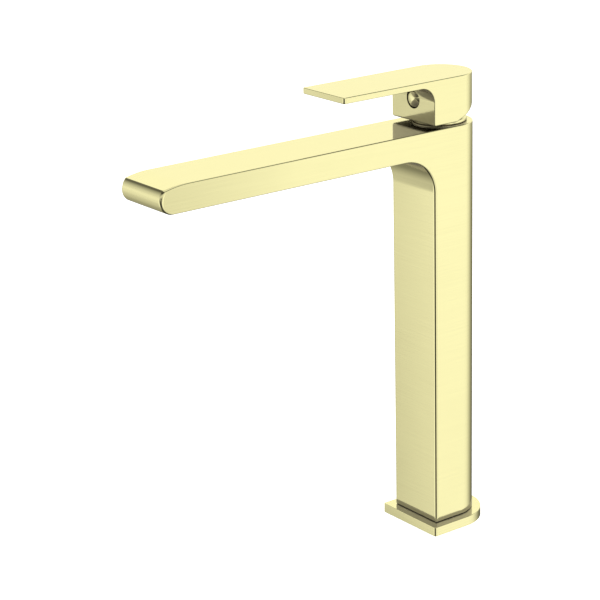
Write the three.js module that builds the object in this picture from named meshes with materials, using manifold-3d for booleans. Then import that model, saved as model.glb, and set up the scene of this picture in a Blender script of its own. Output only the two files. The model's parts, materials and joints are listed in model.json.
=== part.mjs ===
// A tall single-lever basin mixer: a D-plan column with a long flat spout, and a flat lever over it.
// Millimetres, +Z up. The origin is on the deck, on the axis of the cartridge. The spout runs towards
// -Y, hot water comes in at -X and cold at +X.
import * as THREE from 'three';
import { mergeVertices } from 'three/addons/utils/BufferGeometryUtils.js';
import Module from 'manifold-3d';

const wasm = await Module();
wasm.setup();

// ---------------------------------------------------------------- driving dimensions
const GAP = 0.3; // what stays free between two pieces that touch
const CUT = 1; // how far a cutter runs past the face that it opens

// base plate
const PLATE_THICKNESS = 7;
const PLATE_MARGIN = 6.25; // how far the plate stands out around the column
const PLATE_EDGE = 0.4; // rounding of its edges
const PLATE_CORNER = 1;
const GASKET_INSET = 0.9; // the black gasket in the column's foot, set back from its outside
const GASKET_WIDTH = 1.2;
const GASKET_HEIGHT = 0.8;
const SPIGOT_RADIUS = 17; // the foot's round spigot, in the plate's hole
const SEAL_WIDTH = 3;
const SEAL_HEIGHT = 2.2;

// column and spout
const BODY_HALF = 23; // half the width of column and spout, and the radius of the round back
const COLUMN_FRONT = -23.8;
const COLUMN_CORNER = 1.8;
const BODY_TOP = 296.3;
const SPOUT_THICKNESS = 18.3;
const SPOUT_TIP = -246.3;
const ARMPIT_RADIUS = 26; // inside corner between spout and column
const NOSE = { radius: 9.1, from: 128, bend: 75 }; // the tip's round, and the long bend above it
const WALL = 3;

// cartridge: the chamber in the head, and the stack in it from the seat up
const PIVOT_Z = 280; // height of the stem's pin
const SEAT_Z = 247.5; // floor of the cartridge chamber
const WEB_THICKNESS = 7.5; // the floor's thickness, over the hollow column
const CHAMBER_RADIUS = 18.2;
const CARTRIDGE_RADIUS = 17.2;
const BASE_HEIGHT = 6.8;
const DISC_THICKNESS = 3.3;
const FIXED_DISC_RADIUS = 14.6;
const MOVING_DISC_RADIUS = 11.9;
const DISC_OFFSET = 2.64; // how far the moving disc stands off centre when the valve is shut
const CARRIER_HEIGHT = 7.5;
const INLET = { x: 5.8, y: -3.4, radius: 2.7 };
const OUTLET = { x: 0, y: 6.5, radius: 3.2 };
const ROTOR_RADIUS = 11;
const ROTOR_TOP = 289;
const FLANGE_THICKNESS = 2.6;
const SHOULDER_Z = 286; // the housing's shoulder, that the nut presses on
const NECK_TOP = 290;
const NUT_BORE = 13.6;
const ORING_Z = 280;
const STEM_HALF = 4;
const STEM_TOP = 318.5;
const PIN_RADIUS = 2;
const BALL_RADIUS = 3;
const BALL_DROP = 12.22; // how far the stem's ball lies below its pin

// water ways
const TUBE_RADIUS = 4.5;
const TUBE_BORE = 3.4;
const SOCKET_DEPTH = 3.8;
const PORT = { x: 8.5, y: -4, radius: 4.6, depth: 14 };
const STUD = { y: 12, radius: 3.4, depth: 15 };
const FOOT_TOP = 24;
const AERATOR_Y = -222;
const AERATOR_RADIUS = 12;
const AERATOR_HEIGHT = 9;

// dome ring between body and lever
const RING_RADIUS = 18.9;
const RING_MOUTH = 15.6;
const DOME_RADIUS = 26.4; // about the pin
const DOME_WALL = 1.8;

// lever
const LEVER_HALF = 22.55;
const LEVER_TOP = 330.6;
const LEVER_TIP = -100.8;
const LEVER_CORNER = 1.8;
const ARM_THICKNESS = 4.3;
const BLOCK_FRONT = -23.4;
const BLOCK_BOTTOM = 298.8;
const BLOCK_FILLET = 11.5;
const RELIEF_START = -2.7; // where the block's underside starts to rise towards the back
const RELIEF_ANGLE = 25;
const BLOCK_CAVITY = 27.8; // radius of the round hollow over the dome ring, about the pin
const SCREW = { z: 314.5, radius: 2.7, back: -17.5, hex: 1.75, hexDepth: 3.5 };
const PLUG = { radius: 6.45, back: -20, dome: 2.8 };

const SPOUT_UNDER = BODY_TOP - SPOUT_THICKNESS;
const COLUMN_FOOT = PLATE_THICKNESS + GAP;
const WEB_UNDER = SEAT_Z - WEB_THICKNESS;
const SIDES = [['cold', 1], ['hot', -1]];

// ---------------------------------------------------------------- finishes
const finish = (color, roughness, metalness) =>
  new THREE.MeshStandardMaterial({ color, roughness, metalness });
const brushedGold = () => finish(0xe8dc98, 0.32, 1);
const polishedGold = () => finish(0xefe2a2, 0.12, 1);
const rawBrass = () => finish(0xc0a056, 0.45, 1);
const copper = () => finish(0xb8704c, 0.35, 1);
const steel = () => finish(0xb9bbbd, 0.3, 1);
const ceramic = () => finish(0xf2efe8, 0.2, 0);
const plastic = () => finish(0xd9dcd8, 0.5, 0);
const rubber = () => finish(0x1d1d1e, 0.8, 0);

// ---------------------------------------------------------------- solids and meshes
const radians = THREE.MathUtils.degToRad;

// A closed three.js geometry as a solid that can be joined and cut.
function solid(geometry) {
  const bare = geometry.clone();
  bare.deleteAttribute('normal');
  bare.deleteAttribute('uv');
  const merged = mergeVertices(bare, 1e-4);
  const index = Array.from(merged.index.array);
  const corners = [];
  for (let i = 0; i < index.length; i += 3) {
    const [a, b, c] = index.slice(i, i + 3);
    if (a !== b && b !== c && c !== a) corners.push(a, b, c);
  }
  return new wasm.Manifold(new wasm.Mesh({
    numProp: 3,
    vertProperties: Float32Array.from(merged.attributes.position.array),
    triVerts: Uint32Array.from(corners),
  }));
}

const join = (first, ...others) => others.reduce((whole, next) => whole.add(next), first);
const cut = (first, ...cutters) => cutters.reduce((whole, next) => whole.subtract(next), first);

// A finished solid as a named mesh.
function piece(name, body, material) {
  const { vertProperties, triVerts } = body.getMesh();
  const geometry = new THREE.BufferGeometry();
  geometry.setAttribute('position', new THREE.BufferAttribute(vertProperties, 3));
  geometry.setIndex(new THREE.BufferAttribute(triVerts, 1));
  geometry.computeVertexNormals();
  const mesh = new THREE.Mesh(geometry, material);
  mesh.name = name;
  return mesh;
}

// Points of an arc in a plane, from one angle to another in degrees.
function arc(cx, cy, radius, from, to, steps) {
  return Array.from({ length: steps + 1 }, (_, i) => {
    const angle = radians(from + ((to - from) * i) / steps);
    return new THREE.Vector2(cx + radius * Math.cos(angle), cy + radius * Math.sin(angle));
  });
}

const at = (x, y) => new THREE.Vector2(x, y);

// The D that column, plate and foot share in plan: a flat front, straight sides and a round back.
function dPlan(half, front, corner, backSteps = 28, cornerSteps = 3) {
  return [
    ...arc(0, 0, half, 0, 180, backSteps),
    ...arc(corner - half, front + corner, corner, 180, 270, cornerSteps),
    ...arc(half - corner, front + corner, corner, 270, 360, cornerSteps),
  ];
}

// An outline in plan, carried up from one height to another.
function prism(outline, low, high) {
  const geometry = new THREE.ExtrudeGeometry(new THREE.Shape(outline), {
    depth: high - low,
    bevelEnabled: false,
  });
  return solid(geometry.translate(0, 0, low));
}

// An outline seen from the side, as (y, z), carried across the width.
function sidePrism(outline, half) {
  const geometry = new THREE.ExtrudeGeometry(new THREE.Shape(outline), {
    depth: 2 * half,
    bevelEnabled: false,
  });
  const across = new THREE.Matrix4().makeBasis(
    new THREE.Vector3(0, 1, 0), new THREE.Vector3(0, 0, 1), new THREE.Vector3(1, 0, 0));
  return solid(geometry.applyMatrix4(across).translate(-half, 0, 0));
}

function block(low, high) {
  const size = high.map((value, i) => value - low[i]);
  const geometry = new THREE.BoxGeometry(...size);
  return solid(geometry.translate(...low.map((value, i) => value + size[i] / 2)));
}

// An upright cylinder between two heights.
function rod(radius, low, high, x = 0, y = 0, sides = 32) {
  const geometry = new THREE.CylinderGeometry(radius, radius, high - low, sides);
  return solid(geometry.rotateX(Math.PI / 2).translate(x, y, (low + high) / 2));
}

// A level cylinder along Y.
function rodAlongY(radius, low, high, z, sides = 32) {
  const geometry = new THREE.CylinderGeometry(radius, radius, high - low, sides);
  return solid(geometry.translate(0, (low + high) / 2, z));
}

// A level cylinder along X through the axis.
function rodAlongX(radius, half, z, sides = 24) {
  const geometry = new THREE.CylinderGeometry(radius, radius, 2 * half, sides);
  return solid(geometry.rotateZ(Math.PI / 2).translate(0, 0, z));
}

// A profile of (radius, height) points, listed anticlockwise, turned about an upright axis.
function turned(profile, x = 0, y = 0, sides = 48) {
  const geometry = new THREE.LatheGeometry([...profile, profile[0]], sides);
  return solid(geometry.rotateX(Math.PI / 2).translate(x, y, 0));
}

function ring(inner, outer, low, high, x = 0, y = 0, sides = 48) {
  return turned([at(inner, low), at(outer, low), at(outer, high), at(inner, high)], x, y, sides);
}

// An O-ring of eight-sided section.
function oRing(inner, outer, low, high, x = 0, y = 0, sides = 40) {
  const r = (inner + outer) / 2;
  const z = (low + high) / 2;
  const section = arc(0, 0, 1, 22.5, 337.5, 7).map(
    (p) => at(r + (p.x * (outer - inner)) / 2, z + (p.y * (high - low)) / 2));
  return turned(section, x, y, sides);
}

// ---------------------------------------------------------------- base
function basePlate() {
  const half = BODY_HALF + PLATE_MARGIN;
  const outline = dPlan(half, COLUMN_FRONT - PLATE_MARGIN, PLATE_CORNER);
  const slab = new THREE.ExtrudeGeometry(new THREE.Shape(outline), {
    depth: PLATE_THICKNESS - 2 * PLATE_EDGE,
    bevelThickness: PLATE_EDGE,
    bevelSize: PLATE_EDGE,
    bevelOffset: -PLATE_EDGE,
    bevelSegments: 2,
  });
  const groove = cut(
    bodyPrism(SEAL_WIDTH + GAP, -CUT, SEAL_HEIGHT + GAP),
    bodyPrism(-GAP, -2 * CUT, SEAL_HEIGHT + CUT));
  const hole = rod(SPIGOT_RADIUS + GAP, -CUT, PLATE_THICKNESS + CUT, 0, 0, 48);
  return cut(solid(slab.translate(0, 0, PLATE_EDGE)), groove, hole);
}

// The column's outline grown by a margin, or drawn in where the margin is negative.
function bodyPrism(margin, low, high) {
  return prism(dPlan(BODY_HALF + margin, COLUMN_FRONT - margin, COLUMN_CORNER), low, high);
}

function baseSeal() {
  return cut(bodyPrism(SEAL_WIDTH, 0, SEAL_HEIGHT), bodyPrism(0, -CUT, SEAL_HEIGHT + CUT));
}

// A ring that follows the column's outline inside its wall, or with room around it as a groove.
function gasketRing(low, high, room = 0) {
  return cut(
    bodyPrism(room - GASKET_INSET, low, high),
    bodyPrism(-room - GASKET_INSET - GASKET_WIDTH, low - CUT, high + CUT));
}

// The brass block in the column's foot, with two hose ports and two stud holes from below.
function mountingFoot() {
  const inset = WALL + 2 * GAP;
  const upper = bodyPrism(-inset, COLUMN_FOOT, FOOT_TOP);
  const spigot = rod(SPIGOT_RADIUS, 0, COLUMN_FOOT + CUT, 0, 0, 48);
  const ports = SIDES.flatMap(([, side]) => [
    rod(PORT.radius, -CUT, PORT.depth, side * PORT.x, PORT.y),
    rod(TUBE_BORE, PORT.depth - CUT, FOOT_TOP, side * PORT.x, PORT.y, 24),
    rod(TUBE_RADIUS + GAP, FOOT_TOP - SOCKET_DEPTH, FOOT_TOP + CUT, side * PORT.x, PORT.y),
  ]);
  const studs = [1, -1].map((end) => rod(STUD.radius, -CUT, STUD.depth, 0, end * STUD.y));
  return cut(join(upper, spigot), ...ports, ...studs);
}

// A copper tube from the foot up to the cartridge's seat, upright at both ends.
function supplyTube(side) {
  const low = FOOT_TOP - SOCKET_DEPTH + GAP;
  const high = WEB_UNDER + SOCKET_DEPTH - GAP;
  const bend = (high - low) / 3;
  const route = new THREE.CubicBezierCurve3(
    new THREE.Vector3(side * PORT.x, PORT.y, low),
    new THREE.Vector3(side * PORT.x, PORT.y, low + bend),
    new THREE.Vector3(side * INLET.x, INLET.y, high - bend),
    new THREE.Vector3(side * INLET.x, INLET.y, high));
  const section = new THREE.Shape().absarc(0, 0, TUBE_RADIUS, 0, 2 * Math.PI);
  section.holes.push(new THREE.Path().absarc(0, 0, TUBE_BORE, 0, 2 * Math.PI, true));
  return solid(new THREE.ExtrudeGeometry(section, {
    steps: 16,
    curveSegments: 8,
    extrudePath: route,
  }));
}

// ---------------------------------------------------------------- column and spout
// Side view of the casting: column, round inside corner, spout and its tip. The spout's top bends
// down gently, meets the round nose in a soft crease, and the nose turns under.
function bodyOutline() {
  const back = BODY_HALF + CUT;
  const nose = at(SPOUT_TIP + NOSE.radius, SPOUT_UNDER + NOSE.radius);
  const crease = arc(nose.x, nose.y, NOSE.radius, NOSE.from, NOSE.from, 1)[0];
  const bendEnd = 90 + THREE.MathUtils.radToDeg(Math.acos(1 - (BODY_TOP - crease.y) / NOSE.bend));
  const bend = crease.x - NOSE.bend * Math.cos(radians(bendEnd));
  return [
    at(back, COLUMN_FOOT),
    at(back, BODY_TOP),
    ...arc(bend, BODY_TOP - NOSE.bend, NOSE.bend, 90, bendEnd, 5),
    ...arc(nose.x, nose.y, NOSE.radius, NOSE.from + 4, 270, 11),
    ...arc(COLUMN_FRONT - ARMPIT_RADIUS, SPOUT_UNDER - ARMPIT_RADIUS, ARMPIT_RADIUS, 90, 0, 12),
    at(COLUMN_FRONT, COLUMN_FOOT),
  ];
}

// The water's way from the chamber up into the hollow spout, and on to the outlet.
function spoutWay() {
  const low = SPOUT_UNDER + WALL;
  const high = BODY_TOP - WALL;
  const start = COLUMN_FRONT + 0.8;
  const end = AERATOR_Y + AERATOR_RADIUS + 4;
  const riser = { half: 12, front: -26.5, low: 266.5, high: 278 };
  const seat = AERATOR_RADIUS + GAP;
  const seatTop = SPOUT_UNDER + AERATOR_HEIGHT + 2.2;
  return [
    block([WALL + 0.5 - BODY_HALF, end, low], [BODY_HALF - WALL - 0.5, start, high]),
    block([-riser.half, riser.front, riser.low], [riser.half, -CHAMBER_RADIUS + 2, riser.high]),
    block([-riser.half, riser.front, riser.high - CUT], [riser.half, start, low + CUT]),
    block([-7, AERATOR_Y, seatTop + GAP], [7, end + CUT, high]),
    rod(seat, SPOUT_UNDER - CUT, seatTop, 0, AERATOR_Y),
    rod(seat - 2.8, seatTop - CUT, high, 0, AERATOR_Y),
  ];
}

function bodyShell() {
  const plan = dPlan(BODY_HALF, SPOUT_TIP - CUT, COLUMN_CORNER);
  const outer = sidePrism(bodyOutline(), BODY_HALF + CUT).intersect(prism(plan, 0, LEVER_TOP));
  const armpit = SPOUT_UNDER - ARMPIT_RADIUS;
  const column = bodyPrism(0, 0, armpit);
  const lower = block([-BODY_HALF - CUT, SPOUT_TIP, -CUT], [BODY_HALF + CUT, BODY_HALF + CUT, armpit]);
  const rounded = join(outer.subtract(lower), outer.intersect(column));
  const hollow = bodyPrism(-WALL, 0, WEB_UNDER);
  const chamber = rod(CHAMBER_RADIUS, SEAT_Z, BODY_TOP + CUT, 0, 0, 48);
  const inlets = SIDES.flatMap(([, side]) => {
    const x = side * INLET.x;
    return [
      rod(INLET.radius, WEB_UNDER, SEAT_Z + CUT, x, INLET.y, 24),
      rod(TUBE_RADIUS + GAP, WEB_UNDER - CUT, WEB_UNDER + SOCKET_DEPTH, x, INLET.y),
      rod(INLET.radius + 2.3, SEAT_Z - CUT, SEAT_Z + CUT, x, INLET.y, 24),
    ];
  });
  const groove = gasketRing(0, COLUMN_FOOT + GASKET_HEIGHT + GAP, GAP);
  return cut(rounded, hollow, groove, chamber, ...inlets, ...spoutWay());
}

// ---------------------------------------------------------------- cartridge
const BASE_LOW = SEAT_Z + 0.8;
const FIXED_LOW = BASE_LOW + BASE_HEIGHT + GAP;
const MOVING_LOW = FIXED_LOW + DISC_THICKNESS + GAP;
const CARRIER_LOW = MOVING_LOW + DISC_THICKNESS + GAP;
const FLANGE_LOW = CARRIER_LOW + CARRIER_HEIGHT + GAP;
const FLANGE_TOP = FLANGE_LOW + FLANGE_THICKNESS;

function inletSeal(side) {
  const low = SEAT_Z - CUT + GAP;
  return ring(INLET.radius + 0.5, INLET.radius + 2, low, BASE_LOW - GAP, side * INLET.x, INLET.y, 24);
}

function inletBores(radius, low, high) {
  return SIDES.map(([, side]) => rod(radius, low, high, side * INLET.x, INLET.y, 24));
}

// The lower cap: two inlets straight through, and an outlet that leaves through the rim at the back.
function cartridgeBase() {
  const high = BASE_LOW + BASE_HEIGHT;
  const floor = BASE_LOW + 2;
  return cut(
    rod(CARTRIDGE_RADIUS, BASE_LOW, high, 0, 0, 40),
    ...inletBores(INLET.radius, BASE_LOW - CUT, high + CUT),
    rod(OUTLET.radius, floor, high + CUT, OUTLET.x, OUTLET.y, 24),
    block([-OUTLET.radius, OUTLET.y, floor], [OUTLET.radius, CARTRIDGE_RADIUS + CUT, floor + 3]));
}

function fixedDisc() {
  const high = FIXED_LOW + DISC_THICKNESS;
  return cut(
    rod(FIXED_DISC_RADIUS, FIXED_LOW, high, 0, 0, 40),
    ...inletBores(INLET.radius, FIXED_LOW - CUT, high + CUT),
    rod(OUTLET.radius, FIXED_LOW - CUT, high + CUT, OUTLET.x, OUTLET.y, 24));
}

// The moving disc mixes in a pocket in its underside, over the outlet when the valve is shut.
function movingDisc() {
  const pocketTop = MOVING_LOW + DISC_THICKNESS / 2;
  const pocket = [-3.2, 3.2].map((x) => rod(4, MOVING_LOW - CUT, pocketTop, x, DISC_OFFSET + 3, 24));
  const disc = rod(
    MOVING_DISC_RADIUS, MOVING_LOW, MOVING_LOW + DISC_THICKNESS, 0, DISC_OFFSET, 40);
  return cut(disc, ...pocket);
}

function discCarrier() {
  const socket = rod(
    BALL_RADIUS + 0.4, CARRIER_LOW + 1.2, CARRIER_LOW + CARRIER_HEIGHT + CUT, 0, DISC_OFFSET, 24);
  const disc = rod(
    MOVING_DISC_RADIUS, CARRIER_LOW, CARRIER_LOW + CARRIER_HEIGHT, 0, DISC_OFFSET, 40);
  return cut(disc, socket);
}

// The cartridge's plastic body, turned: a skirt round the discs, an O-ring groove and a neck.
function cartridgeHousing() {
  const skirt = FIXED_DISC_RADIUS + GAP;
  const neck = NUT_BORE - 0.4;
  const bore = ROTOR_RADIUS + GAP;
  const groove = CARTRIDGE_RADIUS - 1.4;
  return turned([
    at(skirt, FIXED_LOW),
    at(CARTRIDGE_RADIUS, FIXED_LOW),
    at(CARTRIDGE_RADIUS, ORING_Z - 1.3),
    at(groove, ORING_Z - 1.3),
    at(groove, ORING_Z + 1.3),
    at(CARTRIDGE_RADIUS, ORING_Z + 1.3),
    at(CARTRIDGE_RADIUS, SHOULDER_Z),
    at(neck, SHOULDER_Z),
    at(neck, NECK_TOP),
    at(bore, NECK_TOP),
    at(bore, FLANGE_TOP + GAP),
    at(skirt, FLANGE_TOP + GAP),
  ]);
}

function cartridgeORing() {
  return oRing(CARTRIDGE_RADIUS - 1.1, CHAMBER_RADIUS - 0.25, ORING_Z - 1, ORING_Z + 1);
}

// The ring nut over the cartridge, with four notches for its key.
function cartridgeNut() {
  const low = SHOULDER_Z + 0.4;
  const high = BODY_TOP - 0.5;
  const reach = CHAMBER_RADIUS + CUT;
  const notchFloor = high - 2.5;
  return cut(
    ring(NUT_BORE, CHAMBER_RADIUS - GAP, low, high),
    block([-2.5, -reach, notchFloor], [2.5, reach, high + CUT]),
    block([-reach, -2.5, notchFloor], [reach, 2.5, high + CUT]));
}

// The turning piece in the housing's neck: a slot lets the stem tip, and a bore holds its pin.
function stemRotor() {
  return cut(
    join(
      rod(ROTOR_RADIUS, FLANGE_TOP - CUT, ROTOR_TOP, 0, 0, 40),
      rod(FIXED_DISC_RADIUS, FLANGE_LOW, FLANGE_TOP, 0, 0, 40)),
    block([-STEM_HALF - GAP, -6.2, FLANGE_LOW - CUT], [STEM_HALF + GAP, 9, ROTOR_TOP + CUT]),
    rodAlongX(PIN_RADIUS + GAP, ROTOR_RADIUS + CUT, PIVOT_Z));
}

function stemPin() {
  return rodAlongX(PIN_RADIUS, ROTOR_RADIUS - 0.6, PIVOT_Z);
}

// A square stem with the pin's hole, and a cranked lower arm that ends in the ball that moves the disc.
function valveStem() {
  const shank = block([-STEM_HALF, -STEM_HALF, PIVOT_Z - 5], [STEM_HALF, STEM_HALF, STEM_TOP]);
  const start = new THREE.Vector3(0, 0, PIVOT_Z - 3);
  const end = new THREE.Vector3(0, DISC_OFFSET, PIVOT_Z - BALL_DROP);
  const arm = new THREE.CylinderGeometry(2.2, 2.2, start.distanceTo(end), 16);
  const turn = new THREE.Quaternion().setFromUnitVectors(
    new THREE.Vector3(0, 1, 0), end.clone().sub(start).normalize());
  arm.applyQuaternion(turn).translate(...start.clone().add(end).multiplyScalar(0.5).toArray());
  const ball = new THREE.SphereGeometry(BALL_RADIUS, 20, 12).translate(...end.toArray());
  return cut(join(shank, solid(arm), solid(ball)), rodAlongX(PIN_RADIUS + GAP, 2 * STEM_HALF, PIVOT_Z));
}

// ---------------------------------------------------------------- dome ring and lever
// A point on a sphere about the pin, at a distance from the upright axis, as (radius, height).
const onDome = (sphere, r) => at(r, PIVOT_Z + Math.sqrt(sphere ** 2 - r ** 2));

// The collar over the nut: a short upright rim, and a dome that the lever's hollow turns about.
function neckRing() {
  const low = BODY_TOP + GAP;
  const steps = 5;
  const between = (from, to) =>
    Array.from({ length: steps + 1 }, (_, i) => from + ((to - from) * i) / steps);
  const inner = DOME_RADIUS - DOME_WALL;
  return turned([
    at(RING_RADIUS - 2, low),
    at(RING_RADIUS, low),
    ...between(RING_RADIUS, RING_MOUTH).map((r) => onDome(DOME_RADIUS, r)),
    ...between(RING_MOUTH - 1.1, RING_RADIUS - 2).map((r) => onDome(inner, r)),
  ]);
}

// Side view of the lever: the flat arm, and the block that covers the cartridge.
function leverOutline() {
  const back = LEVER_HALF + CUT;
  const armUnder = LEVER_TOP - ARM_THICKNESS;
  const edge = 0.8;
  return [
    at(back, BLOCK_BOTTOM + (back - RELIEF_START) * Math.tan(radians(RELIEF_ANGLE))),
    at(back, LEVER_TOP),
    ...arc(LEVER_TIP + edge, LEVER_TOP - edge, edge, 90, 180, 3),
    ...arc(LEVER_TIP + edge, armUnder + edge, edge, 180, 270, 3),
    ...arc(BLOCK_FRONT - BLOCK_FILLET, armUnder - BLOCK_FILLET, BLOCK_FILLET, 90, 0, 8),
    at(BLOCK_FRONT, BLOCK_BOTTOM),
    at(RELIEF_START, BLOCK_BOTTOM),
  ];
}

function leverHandle() {
  const plan = dPlan(LEVER_HALF, LEVER_TIP, LEVER_CORNER);
  const hollow = new THREE.SphereGeometry(BLOCK_CAVITY, 40, 24).translate(0, 0, PIVOT_Z);
  const socket = STEM_HALF + GAP;
  return cut(
    sidePrism(leverOutline(), LEVER_HALF + CUT).intersect(
      prism(plan, BLOCK_BOTTOM - CUT, LEVER_TOP + CUT)),
    solid(hollow),
    block([-socket, -socket, PIVOT_Z + 20], [socket, socket, STEM_TOP + 0.5]),
    rodAlongY(PLUG.radius + GAP, BLOCK_FRONT - BLOCK_FILLET, PLUG.back + GAP, SCREW.z),
    rodAlongY(SCREW.radius + GAP, PLUG.back - CUT, 0, SCREW.z, 24));
}

function grubScrew() {
  const hexKey = rodAlongY(SCREW.hex, SCREW.back - CUT, SCREW.back + SCREW.hexDepth, SCREW.z, 6);
  return cut(rodAlongY(SCREW.radius, SCREW.back, -STEM_HALF - 0.35, SCREW.z, 24), hexKey);
}

// The plug over the screw: a short stopper whose front is a shallow dome.
function indexPlug() {
  const rim = BLOCK_FRONT + 0.8;
  const bulge = (PLUG.radius ** 2 + PLUG.dome ** 2) / (2 * PLUG.dome);
  const spread = THREE.MathUtils.radToDeg(Math.asin(PLUG.radius / bulge));
  const length = PLUG.back - rim;
  const profile = [
    at(0, 0),
    at(PLUG.radius, 0),
    ...arc(0, length + PLUG.dome - bulge, bulge, 90 - spread, 90, 6),
  ];
  profile[profile.length - 1].x = 0;
  const geometry = new THREE.LatheGeometry(profile, 32);
  return solid(geometry.rotateX(Math.PI).translate(0, PLUG.back, SCREW.z));
}

// ---------------------------------------------------------------- aerator
function aeratorHousing() {
  const low = SPOUT_UNDER + GAP;
  return turned([
    at(AERATOR_RADIUS - 2.6, low),
    at(AERATOR_RADIUS, low),
    at(AERATOR_RADIUS, low + AERATOR_HEIGHT),
    at(AERATOR_RADIUS - 1.8, low + AERATOR_HEIGHT),
    at(AERATOR_RADIUS - 1.8, low + 1),
    at(AERATOR_RADIUS - 2.6, low + 1),
  ], 0, AERATOR_Y, 32);
}

// The flow straightener: a short plug with a square grid of holes.
function aeratorInsert() {
  const low = SPOUT_UNDER + GAP + 1 + GAP;
  const high = low + AERATOR_HEIGHT - 2;
  const pitch = 3.6;
  const hole = 1.3;
  const cells = [-2, -1, 0, 1, 2];
  const holes = cells.flatMap((i) => cells
    .filter((j) => Math.hypot(i, j) < 2.5)
    .map((j) => block(
      [i * pitch - hole, AERATOR_Y + j * pitch - hole, low - CUT],
      [i * pitch + hole, AERATOR_Y + j * pitch + hole, high + CUT])));
  return cut(rod(AERATOR_RADIUS - 2.1, low, high, 0, AERATOR_Y), ...holes);
}

function aeratorSeal() {
  const low = SPOUT_UNDER + AERATOR_HEIGHT + 2 * GAP;
  return ring(AERATOR_RADIUS - 2.4, AERATOR_RADIUS - 0.2, low, low + 1.3, 0, AERATOR_Y, 32);
}

// ---------------------------------------------------------------- assembly
const faucet = new THREE.Group();

const body = new THREE.Group();
body.add(
  piece('base_plate', basePlate(), brushedGold()),
  piece('base_seal', baseSeal(), rubber()),
  piece('column_gasket', gasketRing(COLUMN_FOOT, COLUMN_FOOT + GASKET_HEIGHT), rubber()),
  piece('mounting_foot', mountingFoot(), rawBrass()),
  piece('body_shell', bodyShell(), brushedGold()),
  piece('neck_ring', neckRing(), polishedGold()),
  piece('aerator_housing', aeratorHousing(), polishedGold()),
  piece('aerator_insert', aeratorInsert(), plastic()),
  piece('aerator_seal', aeratorSeal(), rubber()),
);
for (const [name, side] of SIDES) {
  body.add(
    piece(`${name}_supply_tube`, supplyTube(side), copper()),
    piece(`${name}_inlet_seal`, inletSeal(side), rubber()),
  );
}

const cartridge = new THREE.Group();
cartridge.add(
  piece('cartridge_base', cartridgeBase(), plastic()),
  piece('fixed_disc', fixedDisc(), ceramic()),
  piece('cartridge_housing', cartridgeHousing(), plastic()),
  piece('cartridge_oring', cartridgeORing(), rubber()),
  piece('cartridge_nut', cartridgeNut(), rawBrass()),
);

// What turns with the lever about the upright axis.
const rotor = new THREE.Group();
rotor.add(
  piece('stem_rotor', stemRotor(), plastic()),
  piece('stem_pin', stemPin(), steel()),
  piece('disc_carrier', discCarrier(), plastic()),
  piece('moving_disc', movingDisc(), ceramic()),
);

// What also tips about the pin.
const lever = new THREE.Group();
lever.add(
  piece('valve_stem', valveStem(), steel()),
  piece('lever_handle', leverHandle(), brushedGold()),
  piece('grub_screw', grubScrew(), steel()),
  piece('index_plug', indexPlug(), polishedGold()),
);

rotor.add(lever);
faucet.add(body, cartridge, rotor);

export default faucet;
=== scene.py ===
# %% [markdown]
# # A tall basin mixer, from its CAD frame to a finished look
#
# The CAD model gives the size of every piece and how the pieces move. This lesson gives the pieces
# that show a finer surface, every piece its finish, and the whole a small studio. Shapes are worked
# out with numpy in millimetres, since that is how a tap is drawn, and become metres in the mesh.

# %% Load the frame
import json
import bmesh
import bpy
import numpy as np
from mathutils import Matrix, Vector

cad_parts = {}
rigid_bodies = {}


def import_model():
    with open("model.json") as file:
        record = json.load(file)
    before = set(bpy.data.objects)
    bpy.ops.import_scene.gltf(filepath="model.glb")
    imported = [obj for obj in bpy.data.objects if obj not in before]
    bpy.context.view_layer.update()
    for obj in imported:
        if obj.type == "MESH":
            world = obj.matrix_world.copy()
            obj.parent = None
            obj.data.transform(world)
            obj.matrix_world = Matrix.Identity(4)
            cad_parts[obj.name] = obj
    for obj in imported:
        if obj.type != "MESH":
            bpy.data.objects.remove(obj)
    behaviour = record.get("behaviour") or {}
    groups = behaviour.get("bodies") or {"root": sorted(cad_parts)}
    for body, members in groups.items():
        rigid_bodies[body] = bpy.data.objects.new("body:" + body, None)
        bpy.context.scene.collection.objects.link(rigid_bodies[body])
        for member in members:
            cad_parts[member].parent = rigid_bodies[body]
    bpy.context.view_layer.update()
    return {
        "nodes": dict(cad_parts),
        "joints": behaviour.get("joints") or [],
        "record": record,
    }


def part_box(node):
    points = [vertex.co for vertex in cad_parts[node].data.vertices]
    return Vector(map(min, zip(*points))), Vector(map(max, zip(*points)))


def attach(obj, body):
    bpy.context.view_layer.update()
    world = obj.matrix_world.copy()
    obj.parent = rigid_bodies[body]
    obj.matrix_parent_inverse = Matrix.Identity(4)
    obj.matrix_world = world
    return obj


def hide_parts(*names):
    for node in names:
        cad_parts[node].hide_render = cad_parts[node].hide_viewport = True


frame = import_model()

NODES = frame["nodes"]
MM = 0.001


def size_of(node):
    """Lowest and highest corner of a CAD node, in millimetres."""
    low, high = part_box(node)
    return np.array(low) / MM, np.array(high) / MM


# %% [markdown]
# ## Where the pieces are
#
# The main measures of each new piece are read from its CAD node, so that a change of the CAD moves
# the piece too. The finer shapes that the CAD doesn't hold are given here as numbers, among them
# the roundings that it leaves sharp: a cast and brushed edge on the real tap has a radius of about
# one millimetre.

# %% Measures of body, plate and lever
body_low, body_high = size_of("body_shell")
plate_low, plate_high = size_of("base_plate")
lever_low, lever_high = size_of("lever_handle")
plug_low, plug_high = size_of("index_plug")
collar_low, collar_high = size_of("neck_ring")
cage_low, cage_high = size_of("aerator_housing")

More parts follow.
